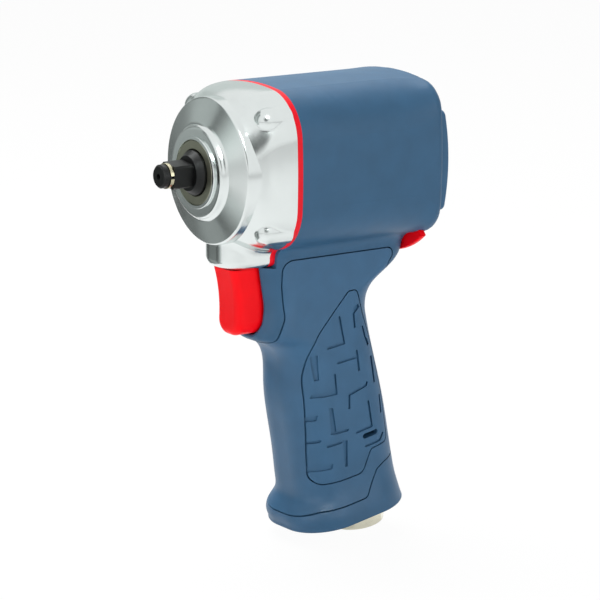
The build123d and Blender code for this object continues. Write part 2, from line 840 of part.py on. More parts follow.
with BuildPart() as hammer_case:
    add(case_shell.part)
    add(case_chin.part)
    fillet(new_edges(case_shell.part, case_chin.part, combined=hammer_case.part), chin_blend)
    case_body = hammer_case.part
    add(case_bosses.part)
    fillet(new_edges(case_body, case_bosses.part, combined=hammer_case.part), boss_blend)
    with BuildSketch(Plane.XZ):
        with BuildLine() as nose_outline:
            FilletPolyline(
                (gasket_front, 0),
                (lip_face, 0),
                (lip_face, lip_radius),
                (nose_ring_face, lip_radius),
                (nose_ring_face, nose_ring_radius),
                (cone_face, cone_radius),
                (rim_face, rim_radius),
                (gasket_front, rim_radius),
                radius=[0, 0, lip_chamfer, 0, nose_ring_round, cone_round, rim_round, 0],
                close=True,
            )
        make_face(nose_outline.edges())
    revolve(axis=Axis.X)
    x_cylinder(case_wall, gasket_front, case_bore, mode=Mode.SUBTRACT)
    x_cylinder(lip_face, case_wall, bushing_radius + press_fit, mode=Mode.SUBTRACT)
    for y in (-screw_y, screw_y):
        for z in (-screw_z, screw_z):
            x_cylinder(screw_tip + free_gap, gasket_front, screw_radius + press_fit, y, z, Mode.SUBTRACT)
hammer_case.part.label = "hammer_case"
export_step(hammer_case.part, "parts/hammer_case.step")

with BuildPart() as case_gasket:
    with BuildSketch(Plane.YZ.offset(gasket_front)) as seal:
        body_outline(front_inset, front_corner)
        with Locations((0, chin_bottom)):
            Rectangle(2 * chin_half_width, chin_top - chin_bottom, align=(Align.CENTER, Align.MIN))
        fillet(seal.vertices().sort_by(Axis.Y)[:2], chin_edge)
    extrude(amount=-gasket_thickness)
    chin_sides = case_gasket.edges().filter_by(Axis.X)
    chin_sides = chin_sides.filter_by(lambda e: abs(abs(e.center().Y) - chin_half_width) < thin_gap)
    fillet(chin_sides.sort_by(Axis.Z)[-2:], chin_blend)
    x_cylinder(gasket_front, housing_front, case_bore, mode=Mode.SUBTRACT)
    for y in (-screw_y, screw_y):
        for z in (-screw_z, screw_z):
            x_cylinder(gasket_front, housing_front, screw_radius + screw_gap, y, z, Mode.SUBTRACT)
case_gasket.part.label = "case_gasket"
export_step(case_gasket.part, "parts/case_gasket.step")

with BuildPart() as anvil_bushing:
    x_cylinder(nose_face, case_wall, bushing_radius)
    x_cylinder(nose_face, case_wall, journal_radius + run_fit, mode=Mode.SUBTRACT)
    chamfer(anvil_bushing.faces().sort_by(Axis.X)[-1].edges(), bushing_chamfer)
anvil_bushing.part.label = "anvil_bushing"
export_step(anvil_bushing.part, "parts/anvil_bushing.step")

# Anvil: square drive, journal, collar and shank with its two impact jaws
with BuildPart() as anvil:
    with BuildSketch(Plane.XZ):
        with BuildLine():
            Polyline(
                (frame_back - pilot_length, 0),
                (frame_back - pilot_length, pilot_radius),
                (frame_back + thin_gap, pilot_radius),
                (frame_back + thin_gap, shank_radius),
                (hammer_1 + thin_gap, shank_radius),
                (hammer_1 + thin_gap, collar_radius),
                (case_wall - thin_gap, collar_radius),
                (case_wall - thin_gap, journal_radius),
                (-shoulder_length, journal_radius),
                (0, shoulder_radius),
                (0, groove_radius),
                (square_length + groove_width, groove_radius),
                (square_length + groove_width, tip_radius),
                (drive_tip - tip_chamfer, tip_radius),
                (drive_tip, tip_radius - tip_chamfer),
                (drive_tip, 0),
                close=True,
            )
        make_face()
    revolve(axis=Axis.X)
    with BuildSketch(Plane.YZ):
        Rectangle(square_size, square_size, rotation=square_turn)
        Circle(square_round / 2, mode=Mode.INTERSECT)
    extrude(amount=square_length)
    for front, jaw_side in ((hammer_1, 0), (hammer_2, 180)):
        with BuildSketch(Plane.YZ.offset(front)):
            ring_sector(shank_radius / 2, anvil_jaw_radius, jaw_side, anvil_jaw_half_angle)
        extrude(amount=-hammer_length)
    x_cylinder(drive_tip, drive_tip - tip_hole_depth, tip_hole_radius, mode=Mode.SUBTRACT)
anvil.part.label = "anvil"
export_step(anvil.part, "parts/anvil.step")

with BuildPart() as socket_retainer_ring:
    with BuildSketch(Plane.YZ.offset(square_length + groove_width / 2 - ring_width / 2)):
        Circle(ring_radius)
        Circle(ring_radius - ring_thickness, mode=Mode.SUBTRACT)
        Rectangle(ring_radius, ring_split, align=(Align.MIN, Align.CENTER), mode=Mode.SUBTRACT)
    extrude(amount=ring_width)
socket_retainer_ring.part.label = "socket_retainer_ring"
export_step(socket_retainer_ring.part, "parts/socket_retainer_ring.step")

with BuildPart() as retainer_o_ring:
    with Locations(Location((square_length + groove_width / 2, 0, 0), (0, 90, 0))):
        Torus(groove_radius + o_ring_section, o_ring_section)
retainer_o_ring.part.label = "retainer_o_ring"
export_step(retainer_o_ring.part, "parts/retainer_o_ring.step")

# Twin hammer mechanism: frame, two swinging hammers and their pins
with BuildPart() as hammer_frame:
    x_cylinder(frame_start, frame_start - frame_front, frame_radius)
    with BuildSketch(Plane.YZ.offset(frame_start - frame_front)):
        Circle(frame_radius)
        Rectangle(2 * web_inner, 2 * frame_radius, mode=Mode.SUBTRACT)
    extrude(amount=frame_back - frame_start + frame_front)
    x_cylinder(frame_back, frame_end, frame_radius)
    x_cylinder(frame_start, frame_start - frame_front, collar_radius + free_gap, mode=Mode.SUBTRACT)
    x_cylinder(frame_back, spline_front, pilot_radius + run_fit, mode=Mode.SUBTRACT)
    with BuildSketch(Plane.YZ.offset(frame_end)):
        spline_outline(run_fit)
    extrude(amount=spline_length, mode=Mode.SUBTRACT)
    for z in (-pin_circle, pin_circle):
        x_cylinder(frame_start, frame_back - pin_hold, pin_radius + press_fit, 0, z, Mode.SUBTRACT)
hammer_frame.part.label = "hammer_frame"
export_step(hammer_frame.part, "parts/hammer_frame.step")

with BuildPart() as hammer_pins:
    for z in (-pin_circle, pin_circle):
        x_cylinder(frame_start - thin_gap, frame_back - pin_hold, pin_radius, 0, z)
hammer_pins.part.label = "hammer_pins"
export_step(hammer_pins.part, "parts/hammer_pins.step")

with BuildPart() as front_hammer:
    with BuildSketch(Plane.YZ.offset(hammer_1)):
        hammer_outline(pin_circle)
    extrude(amount=-hammer_length)
front_hammer.part.label = "front_hammer"
export_step(front_hammer.part, "parts/front_hammer.step")

with BuildPart() as rear_hammer:
    with BuildSketch(Plane.YZ.offset(hammer_2)):
        hammer_outline(-pin_circle)
    extrude(amount=-hammer_length)
rear_hammer.part.label = "rear_hammer"
export_step(rear_hammer.part, "parts/rear_hammer.step")

# Vane motor
with BuildPart() as motor_circlip:
    with BuildSketch(Plane.YZ.offset(circlip_front)):
        Circle(circlip_radius)
        Circle(case_bore - circlip_inside, mode=Mode.SUBTRACT)
        Rectangle(circlip_mouth, 2 * circlip_radius, align=(Align.CENTER, Align.MAX), mode=Mode.SUBTRACT)
    extrude(amount=-circlip_thickness)
motor_circlip.part.label = "motor_circlip"
export_step(motor_circlip.part, "parts/motor_circlip.step")

with BuildPart() as front_end_plate:
    x_cylinder(plate_front, cylinder_front, cylinder_radius)
    x_cylinder(plate_front, front_race - bearing_width, bearing_radius + press_fit, mode=Mode.SUBTRACT)
    x_cylinder(plate_front, cylinder_front, shaft_bore, mode=Mode.SUBTRACT)
    x_cylinder(cylinder_front + dowel_hold, cylinder_front, dowel_bore, 0, -dowel_height, Mode.SUBTRACT)
front_end_plate.part.label = "front_end_plate"
export_step(front_end_plate.part, "parts/front_end_plate.step")

with BuildPart() as rear_end_plate:
    x_cylinder(cylinder_back, plate_back, cylinder_radius)
    x_cylinder(rear_race, plate_back, bearing_radius + press_fit, mode=Mode.SUBTRACT)
    x_cylinder(cylinder_back, plate_back, shaft_bore, mode=Mode.SUBTRACT)
    x_cylinder(cylinder_back, cylinder_back - dowel_hold, dowel_bore, 0, -dowel_height, Mode.SUBTRACT)
    x_cylinder(plate_back + detent_depth, plate_back, detent_bore, 0, detent_height, Mode.SUBTRACT)
    for y in (-valve_port_y, valve_port_y):
        x_cylinder(cylinder_back, plate_back, valve_port_radius, y, valve_port_z, Mode.SUBTRACT)
rear_end_plate.part.label = "rear_end_plate"
export_step(rear_end_plate.part, "parts/rear_end_plate.step")

with BuildPart() as cylinder:
    x_cylinder(cylinder_front, cylinder_back, cylinder_radius)
    x_cylinder(cylinder_front, cylinder_back, cylinder_bore, 0, cylinder_offset, Mode.SUBTRACT)
    x_cylinder(cylinder_front, cylinder_back, dowel_bore, 0, -dowel_height, Mode.SUBTRACT)
    for place in range(port_count):
        station = cylinder_front - cylinder_length * (place + 1) / (port_count + 1)
        for y in (-exhaust_side, exhaust_side):
            with Locations((station, y, -case_bore / 2)):
                Cylinder(port_radius, case_bore, mode=Mode.SUBTRACT)
cylinder.part.label = "cylinder"
export_step(cylinder.part, "parts/cylinder.step")

with BuildPart() as cylinder_dowel:
    x_cylinder(cylinder_front + dowel_hold, cylinder_back - dowel_hold, dowel_radius, 0, -dowel_height)
cylinder_dowel.part.label = "cylinder_dowel"
export_step(cylinder_dowel.part, "parts/cylinder_dowel.step")

with BuildPart() as rotor:
    x_cylinder(rotor_front, rotor_back, rotor_radius)
    x_cylinder(plate_front, plate_back + thin_gap, shaft_radius)
    with BuildSketch(Plane.YZ.offset(plate_front)):
        spline_outline(0)
    extrude(amount=spline_front - thin_gap - plate_front)
    with BuildSketch(Plane.YZ.offset(rotor_back)):
        vane_outline(run_fit)
    extrude(amount=rotor_front - rotor_back, mode=Mode.SUBTRACT)
rotor.part.label = "rotor"
export_step(rotor.part, "parts/rotor.step")

with BuildPart() as vanes:
    with BuildSketch(Plane.YZ.offset(rotor_back)):
        vane_outline(0)
        Circle(rotor_radius, mode=Mode.INTERSECT)
    extrude(amount=rotor_front - rotor_back)
vanes.part.label = "vanes"
export_step(vanes.part, "parts/vanes.step")

# Two ball bearings on the rotor shaft
with BuildPart() as front_bearing_outer_race:
    outer_race(front_race)
front_bearing_outer_race.part.label = "front_bearing_outer_race"
export_step(front_bearing_outer_race.part, "parts/front_bearing_outer_race.step")

with BuildPart() as front_bearing_inner_race:
    inner_race(front_race)
front_bearing_inner_race.part.label = "front_bearing_inner_race"
export_step(front_bearing_inner_race.part, "parts/front_bearing_inner_race.step")

with BuildPart() as front_bearing_balls:
    race_balls(front_race)
front_bearing_balls.part.label = "front_bearing_balls"
export_step(front_bearing_balls.part, "parts/front_bearing_balls.step")

with BuildPart() as rear_bearing_outer_race:
    outer_race(rear_race)
rear_bearing_outer_race.part.label = "rear_bearing_outer_race"
export_step(rear_bearing_outer_race.part, "parts/rear_bearing_outer_race.step")

with BuildPart() as rear_bearing_inner_race:
    inner_race(rear_race)
rear_bearing_inner_race.part.label = "rear_bearing_inner_race"
export_step(rear_bearing_inner_race.part, "parts/rear_bearing_inner_race.step")

with BuildPart() as rear_bearing_balls:
    race_balls(rear_race)
rear_bearing_balls.part.label = "rear_bearing_balls"
export_step(rear_bearing_balls.part, "parts/rear_bearing_balls.step")

# Reverse valve, its lever and the click stop
with BuildPart() as reverse_valve:
    x_cylinder(valve_front, valve_back, valve_radius)
    x_cylinder(valve_front, valve_back, valve_hub + run_fit, mode=Mode.SUBTRACT)
    for y in (-valve_port_y, valve_port_y):
        x_cylinder(valve_front, valve_back, valve_port_radius, y, valve_port_z, Mode.SUBTRACT)
    with BuildSketch(Plane.YZ.offset(valve_front)):
        ring_sector(
            detent_height - detent_radius,
            detent_height + detent_radius,
            180 + lever_swing / 2,
            lever_swing / 2 + detent_spread,
        )
    extrude(amount=-2 * detent_stand, mode=Mode.SUBTRACT)
    with BuildSketch(Plane.YZ.offset(valve_front)):
        tang_outline(run_fit)
    extrude(amount=-valve_thickness, mode=Mode.SUBTRACT)
reverse_valve.part.label = "reverse_valve"
export_step(reverse_valve.part, "parts/reverse_valve.step")

with BuildPart() as reverse_lever:
    with BuildSketch(Plane.YZ.offset(valve_front)):
        ring_sector(lever_inner, lever_reach, lever_rest, lever_half_angle)
        tang_outline(0)
    extrude(amount=-valve_thickness)
    rim_edges = reverse_lever.edges().filter_by(GeomType.CIRCLE)
    fillet(rim_edges.filter_by(lambda e: e.radius > lever_reach - thin_gap), lever_edge)
reverse_lever.part.label = "reverse_lever"
export_step(reverse_lever.part, "parts/reverse_lever.step")

with BuildPart() as detent_ball:
    with Locations((plate_back + detent_radius - detent_stand, 0, detent_height)):
        Sphere(detent_radius)
detent_ball.part.label = "detent_ball"
export_step(detent_ball.part, "parts/detent_ball.step")

with BuildPart() as detent_spring:
    spring_front = plate_back + detent_depth
    x_cylinder(spring_front, detent_spring_back, detent_radius, 0, detent_height)
    x_cylinder(spring_front, detent_spring_back, detent_radius / 2, 0, detent_height, Mode.SUBTRACT)
detent_spring.part.label = "detent_spring"
export_step(detent_spring.part, "parts/detent_spring.step")

# Trigger with its push rod and guide
with BuildPart() as trigger:
    with BuildSketch(Plane.XZ):
        with BuildLine():
            Polyline(
                (trigger_toe, trigger_bottom),
                (trigger_back, trigger_bottom),
                (trigger_back, trigger_top),
                (trigger_tip, trigger_top),
            )
            ThreePointArc(
                (trigger_tip, trigger_top),
                (trigger_waist, rod_height),
                (trigger_toe, trigger_bottom),
            )
        make_face()
    extrude(amount=trigger_half_width, both=True)
    extrude(trigger_section(trigger_back, 0), amount=wide, mode=Mode.INTERSECT)
    front_edges = trigger.faces().sort_by(Axis.X)[-1].edges()
    fillet(front_edges.filter_by(lambda e: e.center().Z < trigger_top - thin_gap), trigger_edge)
    x_cylinder(trigger_back + rod_hold, trigger_back, rod_radius + press_fit, 0, rod_height, Mode.SUBTRACT)
trigger.part.label = "trigger"
export_step(trigger.part, "parts/trigger.step")

with BuildPart() as trigger_rod:
    x_cylinder(trigger_back + rod_hold, rod_end, rod_radius, 0, rod_height)
trigger_rod.part.label = "trigger_rod"
export_step(trigger_rod.part, "parts/trigger_rod.step")

with BuildPart() as trigger_bushing:
    x_cylinder(pocket_back, rod_bushing_back, rod_bushing_radius, 0, rod_height)
    x_cylinder(pocket_back, rod_bushing_back, rod_radius + run_fit, 0, rod_height, Mode.SUBTRACT)
trigger_bushing.part.label = "trigger_bushing"
export_step(trigger_bushing.part, "parts/trigger_bushing.step")

# Tilting throttle valve on its seat
with BuildPart() as throttle_valve:
    handle_cylinder(stem_top, head_top, stem_radius)
    handle_cylinder(head_top, head_top + valve_head, valve_head_radius)
    rocker_place = Location((rocker_reach, 0, -head_top - rocker_radius), (90, 0, 0))
    with Locations(handle_plane.location * rocker_place):
        Cylinder(rocker_radius, rocker_length)
throttle_valve.part.label = "throttle_valve"
export_step(throttle_valve.part, "parts/throttle_valve.step")

with BuildPart() as valve_seat:
    handle_cylinder(seat_top, seat_drop, shank_outer)
    handle_cylinder(seat_top, seat_drop, throat_radius, mode=Mode.SUBTRACT)
valve_seat.part.label = "valve_seat"
export_step(valve_seat.part, "parts/valve_seat.step")

with BuildPart() as throttle_spring:
    spring_top = head_top + valve_head + thin_gap
    handle_cylinder(spring_top, screen_top, spring_radius)
    handle_cylinder(spring_top, screen_top, spring_radius - spring_wire, mode=Mode.SUBTRACT)
throttle_spring.part.label = "throttle_spring"
export_step(throttle_spring.part, "parts/throttle_spring.step")

# Air inlet
with BuildPart() as inlet_screen:
    handle_cylinder(screen_top, shank_top, shank_outer)
    with BuildSketch(handle_plane.offset(-shank_top)):
        with Locations((inlet_reach, 0)):
            with PolarLocations(screen_circle, screen_holes):
                Circle(screen_hole)
            Circle(screen_hole)
    extrude(amount=shank_top - screen_top, mode=Mode.SUBTRACT)
inlet_screen.part.label = "inlet_screen"
export_step(inlet_screen.part, "parts/inlet_screen.step")

with BuildPart() as inlet_bushing:
    with BuildSketch(handle_plane.offset(-hex_bottom)):
        with Locations((inlet_reach, 0)):
            RegularPolygon(hex_flats / 2, 6, major_radius=False, rotation=hex_turn)
    extrude(amount=hex_bottom - hex_top)
    with Locations(handle_plane.offset(-hex_bottom).location * Location((inlet_reach, 0, 0))):
        Cone(
            hex_flats / 2,
            hex_flats / 2 + hex_height,
            hex_height,
            align=(Align.CENTER, Align.CENTER, Align.MIN),
            mode=Mode.INTERSECT,
        )
    handle_cylinder(shank_top, hex_bottom, shank_outer)
    handle_cylinder(hex_bottom - thread_length, hex_bottom, thread_radius, mode=Mode.SUBTRACT)
    handle_cylinder(shank_top, hex_bottom, throat_radius, mode=Mode.SUBTRACT)
    with Locations(handle_plane.offset(-seal_drop).location * Location((inlet_reach, 0, 0))):
        Torus(shank_outer - seal_section, seal_section + press_fit, mode=Mode.SUBTRACT)
inlet_bushing.part.label = "inlet_bushing"
export_step(inlet_bushing.part, "parts/inlet_bushing.step")

with BuildPart() as inlet_seal:
    with Locations(handle_plane.offset(-seal_drop).location * Location((inlet_reach, 0, 0))):
        Torus(shank_outer - seal_section, seal_section)
inlet_seal.part.label = "inlet_seal"
export_step(inlet_seal.part, "parts/inlet_seal.step")
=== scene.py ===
from math import cos, radians, sin

import bpy
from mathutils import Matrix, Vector


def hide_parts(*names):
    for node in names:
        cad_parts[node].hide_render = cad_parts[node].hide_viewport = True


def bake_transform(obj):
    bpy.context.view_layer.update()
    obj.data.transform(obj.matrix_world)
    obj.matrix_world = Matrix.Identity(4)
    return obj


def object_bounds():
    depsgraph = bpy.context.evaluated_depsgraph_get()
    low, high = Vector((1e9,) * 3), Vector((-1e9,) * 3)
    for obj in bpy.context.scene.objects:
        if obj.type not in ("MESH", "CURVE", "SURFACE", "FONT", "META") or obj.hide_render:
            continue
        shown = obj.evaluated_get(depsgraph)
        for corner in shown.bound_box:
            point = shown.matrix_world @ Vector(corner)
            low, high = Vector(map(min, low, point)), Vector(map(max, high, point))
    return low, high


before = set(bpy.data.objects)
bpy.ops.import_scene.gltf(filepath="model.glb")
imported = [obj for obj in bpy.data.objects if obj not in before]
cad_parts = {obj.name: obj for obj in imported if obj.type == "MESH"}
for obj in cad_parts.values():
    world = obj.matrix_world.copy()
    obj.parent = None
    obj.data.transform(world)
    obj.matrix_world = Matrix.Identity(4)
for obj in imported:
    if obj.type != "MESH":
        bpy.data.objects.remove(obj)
cad_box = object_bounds()
scene = bpy.context.scene

MM = 0.001

# Camera fitted to the photograph, which is 600 x 600 pixels; angles in degrees
camera_target = Vector((-55.3, 0.0, -59.0)) * MM
camera_turn = 34.85
camera_rise = 12.45
camera_distance = 1.2
camera_lens = 172.8
camera_sensor = 36.0
camera_far_clip = 50.0

# Floor and world, in metres; a glow is the share of white that a ray sees
floor_gap = 0.5 * MM
floor_size = 14.0
floor_shade = 0.86
floor_roughness = 0.9
floor_glow = 0.96
floor_glow_mirrored = 0.45
ambient = 0.22

# Lamps: places and size in metres, power in watts
lamp_size = 1.0
lamps = {
    "top_light": ((-0.05, -0.5, 1.1), 24.0),
    "front_light": ((1.2, 0.45, 0.1), 6.8),
    "side_light": ((-0.2, 1.1, 0.15), 6.2),
}

# Painted reflection cards, seen only in reflections: their tints, and where a round card's edge starts and
# ends to fade, as shares of its width
wall_reflection_tint = (0.93, 1.0, 0.98)
plain_tint = (1.0, 1.0, 1.0)
round_reflection_tint = (0.95, 1.0, 0.99, 1.0)
fade_start = 0.15
fade_end = 0.5

# Surface detail: patch sizes in millimetres, the noise levels between which a patch changes colour,
# strength of the bumps and drift of the roughness
mould_patch = 9.0
mould_smudge = 14.0
metal_patch = 6.0
metal_smudge = 7.0
patch_start = 0.3
patch_end = 0.7
grain_strength = 0.6
line_strength = 0.5
roughness_drift = 0.05

# Pitch of a wave texture's rings at a scale of 1
wave_pitch = 0.31

# Colours, linear light
slate = (0.026, 0.090, 0.174)
slate_soft = (0.034, 0.106, 0.202)
signal_red = (0.90, 0.001, 0.006)
gasket_red = (0.74, 0.002, 0.014)
polished = (0.72, 0.765, 0.755)
# Pale nickel plating, lifted lighter as painted light against the shade under the handle cap
nickel = (0.82, 0.79, 0.64)
bronze = (0.33, 0.335, 0.26)
black_steel = (0.007, 0.008, 0.008)
ring_wire = (0.50, 0.47, 0.33)
ground_steel = (0.42, 0.43, 0.45)
dark_iron = (0.10, 0.10, 0.11)
seal_black = (0.010, 0.010, 0.011)
laminate = (0.16, 0.07, 0.025)
felt = (0.28, 0.28, 0.26)


class Nodes:
    """The node tree of a material or world, to which nodes are added and linked."""

    def __init__(self, owner):
        owner.use_nodes = True
        self.tree = owner.node_tree

    def fill(self, socket, value):
        """Links a socket to another node's output, or sets its value."""
        if isinstance(value, bpy.types.NodeSocket):
            self.tree.links.new(value, socket)
        else:
            socket.default_value = value

    def add(self, kind, settings=None, **inputs):
        """A new node; an underscore in the name of an input stands for a space."""
        node = self.tree.nodes.new(kind)
        for key, value in (settings or {}).items():
            setattr(node, key, value)
        for key, value in inputs.items():
            self.fill(node.inputs[key.replace("_", " ")], value)
        return node

    def math(self, operation, *values):
        """The result of a math node."""
        node = self.add("ShaderNodeMath", {"operation": operation})
        for socket, value in zip(node.inputs, values):
            self.fill(socket, value)
        return node.outputs[0]

    def mix(self, share, first, second):
        """A mix of two shaders, with a share of the second."""
        node = self.add("ShaderNodeMixShader", Fac=share)
        self.fill(node.inputs[1], first)
        self.fill(node.inputs[2], second)
        return node.outputs[0]

    def show(self, shader):
        """Makes a shader the surface of the material."""
        self.fill(self.tree.nodes["Material Output"].inputs["Surface"], shader)


def new_material(name):
    """A material, its nodes and its Principled shader."""
    material = bpy.data.materials.new(name)
    nodes = Nodes(material)
    return material, nodes, nodes.tree.nodes["Principled BSDF"]


def mottled(nodes, place, colour, size, amount):
    """A colour that drifts lighter and darker over patches of a size in millimetres."""
    patches = nodes.add("ShaderNodeTexNoise", Vector=place, Scale=1 / (size * MM), Detail=4.0)
    ramp = nodes.add("ShaderNodeValToRGB", Fac=patches.outputs["Fac"])
    low, high = ramp.color_ramp.elements
    low.position, high.position = patch_start, patch_end
    low.color = (*[channel * (1 - amount) for channel in colour], 1)
    high.color = (*[min(1, channel * (1 + amount)) for channel in colour], 1)
    return ramp.outputs["Color"]


def smudged(nodes, place, roughness, size, detail):
    """A roughness that drifts a little over smudges of a size in millimetres."""
    smudges = nodes.add("ShaderNodeTexNoise", Vector=place, Scale=1 / (size * MM), Detail=detail)
    drift = nodes.add(
        "ShaderNodeMapRange",
        Value=smudges.outputs["Fac"],
        To_Min=roughness - roughness_drift,
        To_Max=roughness + roughness_drift,
    )
    return drift.outputs["Result"]


def moulded(name, colour, roughness, grain, depth, mottle=0.06, gloss=0.3):
    """Moulded plastic or rubber with a fine surface grain; grain and depth are in millimetres."""
    material, nodes, shader = new_material(name)
    place = nodes.add("ShaderNodeTexCoord").outputs["Object"]
    cells = nodes.add("ShaderNodeTexVoronoi", Vector=place, Scale=1 / (grain * MM))
    fine = nodes.add("ShaderNodeTexNoise", Vector=place, Scale=2 / (grain * MM), Detail=3.0)
    height = nodes.math("ADD", cells.outputs["Distance"], fine.outputs["Fac"])
    bump = nodes.add("ShaderNodeBump", Height=height, Strength=grain_strength, Distance=depth * MM)
    nodes.fill(shader.inputs["Base Color"], mottled(nodes, place, colour, mould_patch, mottle))
    nodes.fill(shader.inputs["Normal"], bump.outputs["Normal"])
    nodes.fill(shader.inputs["Roughness"], smudged(nodes, place, roughness, mould_smudge, detail=5.0))
    nodes.fill(shader.inputs["Specular IOR Level"], gloss)
    return material


def metal(name, colour, roughness, line, depth, rings="X", mottle=0.05, metallic=1.0):
    """Turned or ground metal with fine rings about an axis; line and depth are in millimetres."""
    material, nodes, shader = new_material(name)
    place = nodes.add("ShaderNodeTexCoord").outputs["Object"]
    lines = nodes.add(
        "ShaderNodeTexWave",
        {"wave_type": "RINGS", "rings_direction": rings},
        Vector=place,
        Scale=wave_pitch / (line * MM),
        Distortion=1.5,
        Detail=2.0,
    )
    bump = nodes.add(
        "ShaderNodeBump", Height=lines.outputs["Fac"], Strength=line_strength, Distance=depth * MM
    )
    nodes.fill(shader.inputs["Base Color"], mottled(nodes, place, colour, metal_patch, mottle))
    nodes.fill(shader.inputs["Metallic"], metallic)
    nodes.fill(shader.inputs["Normal"], bump.outputs["Normal"])
    nodes.fill(shader.inputs["Roughness"], smudged(nodes, place, roughness, metal_smudge, detail=6.0))
    return material


materials = {
    "housing": moulded("housing_composite", slate, roughness=0.46, grain=0.55, depth=0.012),
    "grip": moulded("grip_rubber", slate_soft, roughness=0.44, grain=0.40, depth=0.012),
    "pad": moulded("pad_rubber", slate_soft, roughness=0.54, grain=0.40, depth=0.014),
    "cap": moulded("cap_composite", slate_soft, roughness=0.42, grain=0.50, depth=0.010),
    "control": moulded(
        "control_red_plastic", signal_red, roughness=0.36, grain=0.30, depth=0.004, mottle=0.03, gloss=0.12
    ),
    "gasket": moulded(
        "gasket_red_sheet", gasket_red, roughness=0.45, grain=0.30, depth=0.006, mottle=0.05, gloss=0.2
    ),
    "case": metal("polished_case_alloy", polished, roughness=0.19, line=0.6, depth=0.0012, mottle=0.015),
    "nickel": metal("nickel_plate_lifted_for_shade", nickel, roughness=0.24, line=0.3, depth=0.004, rings="Z"),
    "bronze": metal("bushing_bronze", bronze, roughness=0.34, line=0.22, depth=0.006),
    "anvil": metal(
        "black_steel", black_steel, roughness=0.38, line=0.2, depth=0.006, mottle=0.2, metallic=0.6
    ),
    "ring": metal("retainer_wire", ring_wire, roughness=0.26, line=0.2, depth=0.004),
    "steel": metal("ground_steel", ground_steel, roughness=0.28, line=0.2, depth=0.004),
    "screw": metal("black_screw_steel", dark_iron, roughness=0.36, line=0.2, depth=0.005),
    "iron": metal("machined_iron", dark_iron, roughness=0.42, line=0.25, depth=0.006),
    "seal": moulded("seal_rubber", seal_black, roughness=0.55, grain=0.30, depth=0.004),
    "laminate": moulded("vane_laminate", laminate, roughness=0.5, grain=0.25, depth=0.006, mottle=0.15),
    "felt": moulded("muffler_felt", felt, roughness=0.9, grain=0.6, depth=0.15, mottle=0.15),
}

# Finish of each node; those not named here are ground steel
finish_of = {
    "hammer_case": "case",
    "case_gasket": "gasket",
    "motor_housing": "housing",
    "grip_overmold": "grip",
    "grip_pad_left": "pad",
    "grip_pad_right": "pad",
    "handle_cap": "cap",
    "rear_cover": "cap",
    "case_screws": "screw",
    "trigger": "control",
    "reverse_lever": "control",
    "inlet_bushing": "nickel",
    "anvil": "anvil",
    "socket_retainer_ring": "ring",
    "retainer_o_ring": "seal",
    "anvil_bushing": "bronze",
    "front_end_plate": "iron",
    "rear_end_plate": "iron",
    "cylinder": "iron",
    "motor_circlip": "screw",
    "vanes": "laminate",
    "valve_seat": "bronze",
    "trigger_bushing": "bronze",
    "inlet_screen": "bronze",
    "inlet_seal": "seal",
    "exhaust_muffler": "felt",
    "reverse_valve": "seal",
}

for name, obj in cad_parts.items():
    obj.data.materials.clear()
    obj.data.materials.append(materials[finish_of.get(name, "steel")])

# Throttle spring: a copy stands in its place, with its place baked in, and the original is hidden; the
# valve head presses on its upper end
rest_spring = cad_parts["throttle_spring"]
spring = bpy.data.objects.new("leaning_throttle_spring", rest_spring.data.copy())
spring.matrix_world = rest_spring.matrix_world
scene.collection.objects.link(spring)
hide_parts("throttle_spring")
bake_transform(spring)


def plain_sheet(name, centre, across, along, material):
    """A flat sheet of the stage, given by its centre and two half sides."""
    mesh = bpy.data.meshes.new(name)
    corners = [
        centre - across - along,
        centre + across - along,
        centre + across + along,
        centre - across + along,
    ]
    mesh.from_pydata(corners, [], [(0, 1, 2, 3)])
    mesh.materials.append(material)
    spread = mesh.uv_layers.new()
    for corner, place in zip(spread.data, [(0, 0), (1, 0), (1, 1), (0, 1)]):
        corner.uv = place
    sheet = bpy.data.objects.new(name, mesh)
    scene.collection.objects.link(sheet)
    return sheet


def rays_shown(nodes):
    """Two outputs that are 1 for what the camera sees, and for what a mirror or glass shows of it."""
    rays = nodes.add("ShaderNodeLightPath").outputs
    mirrored = nodes.math("MAXIMUM", rays["Is Glossy Ray"], rays["Is Transmission Ray"])
    return rays["Is Camera Ray"], mirrored


# Floor: pale and matt, lifted towards white for the camera and in reflections, with the shadow kept
floor_material, floor_nodes, floor_shader = new_material("studio_floor")
floor_shader.inputs["Base Color"].default_value = (floor_shade, floor_shade, floor_shade, 1)
floor_shader.inputs["Roughness"].default_value = floor_roughness
direct, mirrored = rays_shown(floor_nodes)
mirrored_share = floor_nodes.math("MULTIPLY", mirrored, floor_glow_mirrored)
white_share = floor_nodes.math("MULTIPLY_ADD", direct, floor_glow, mirrored_share)
white = floor_nodes.add("ShaderNodeEmission", Strength=1.0)
floor_nodes.show(floor_nodes.mix(white_share, floor_shader.outputs[0], white.outputs[0]))
floor_height = cad_box[0].z - floor_gap
plain_sheet(
    "floor",
    Vector((0, 0, floor_height)),
    Vector((floor_size / 2, 0, 0)),
    Vector((0, floor_size / 2, 0)),
    floor_material,
)

# World: white behind the object and in reflections, a plain level of light otherwise
world = bpy.data.worlds.new("studio")
scene.world = world
world_nodes = Nodes(world)
backdrop = world_nodes.tree.nodes["Background"]
backdrop.inputs["Color"].default_value = (1, 1, 1, 1)
direct, mirrored = rays_shown(world_nodes)
level = world_nodes.add(
    "ShaderNodeMapRange", Value=world_nodes.math("MAXIMUM", direct, mirrored), To_Min=ambient, To_Max=1.0
)
world_nodes.fill(backdrop.inputs["Strength"], level.outputs["Result"])

# The lamps leave out the polished case, which shows the painted reflection cards and the white around it
mirror_finish = bpy.data.collections.new("mirror_finish")
mirror_finish.objects.link(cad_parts["hammer_case"])
mirror_finish.collection_objects[0].light_linking.link_state = "EXCLUDE"


